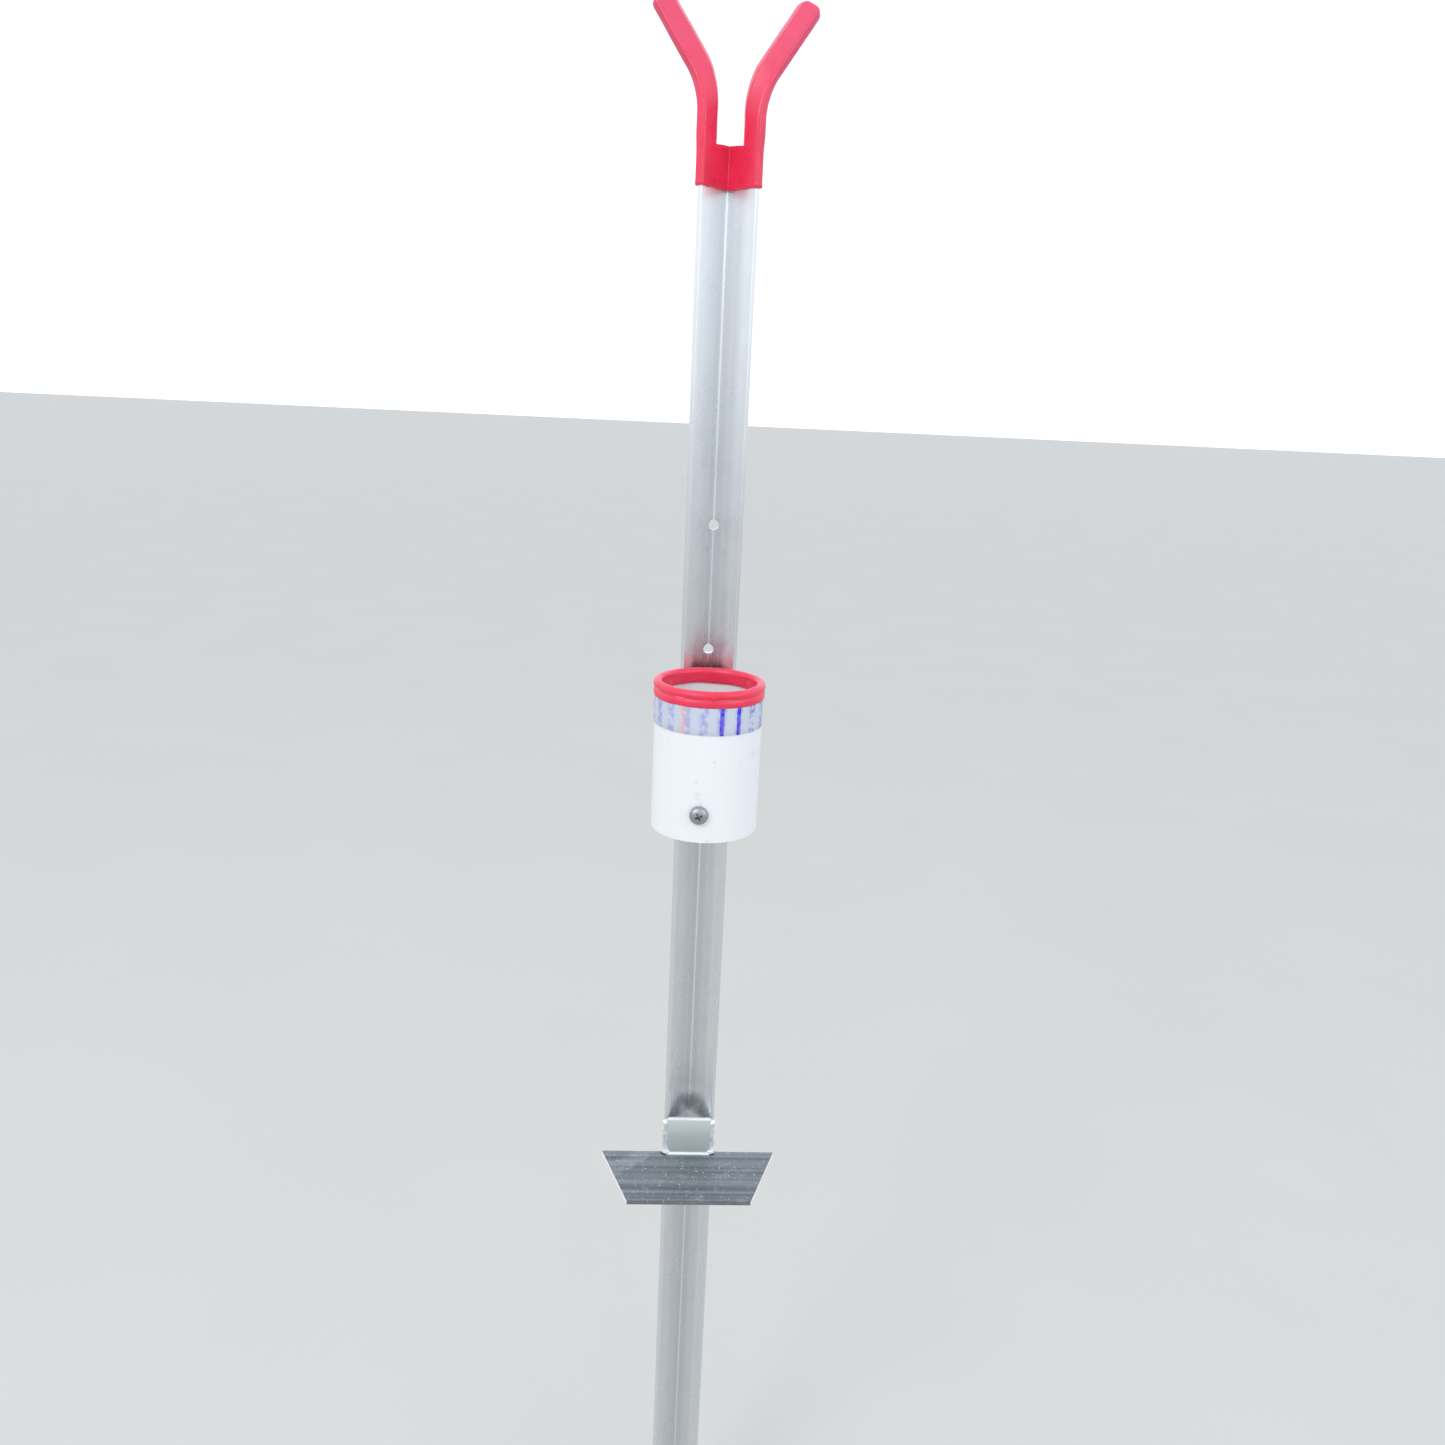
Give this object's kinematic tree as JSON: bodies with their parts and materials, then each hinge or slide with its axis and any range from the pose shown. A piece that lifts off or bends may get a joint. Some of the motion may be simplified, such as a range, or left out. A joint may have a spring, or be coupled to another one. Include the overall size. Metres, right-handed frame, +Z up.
{
  "type": "fishing rod holder",
  "caption": "V-section aluminium spike for beach or bank with a dipped fork top, a bolted plastic butt cup and a welded foot step.",
  "frame": {"origin": "tip of the spike, on the outer corner line of the angle", "axes": "+Z up along the post; -Y is the front, the open side of the V, where the cup and step are; +X is to the right seen from the front"},
  "size_m": [0.1244, 0.1044, 1.1123],
  "materials": {
    "mill_aluminium": "mill finish extrusion, faint lengthwise lines",
    "step_aluminium": "mill finish extrusion, scuffed by boots",
    "weld_metal": "bright rippled weld bead",
    "red_vinyl": "dipped vinyl, glossy",
    "white_pvc": "extruded pipe, satin",
    "silver_tape": "prismatic reflective film",
    "stainless_steel": "plain",
    "blue_nylon": "moulded"
  },
  "bodies": {
    "root": {"post_angle": "mill_aluminium", "fork_coating": "red_vinyl", "cup_tube": "white_pvc", "cup_rim_coating": "red_vinyl", "reflective_tape": "silver_tape", "cup_bolt": "stainless_steel", "bolt_washer": "stainless_steel", "lock_nut": "stainless_steel", "nut_insert": "blue_nylon", "foot_step": "step_aluminium", "step_side_welds": "weld_metal", "step_under_welds": "weld_metal"}
  },
  "joints": []
}
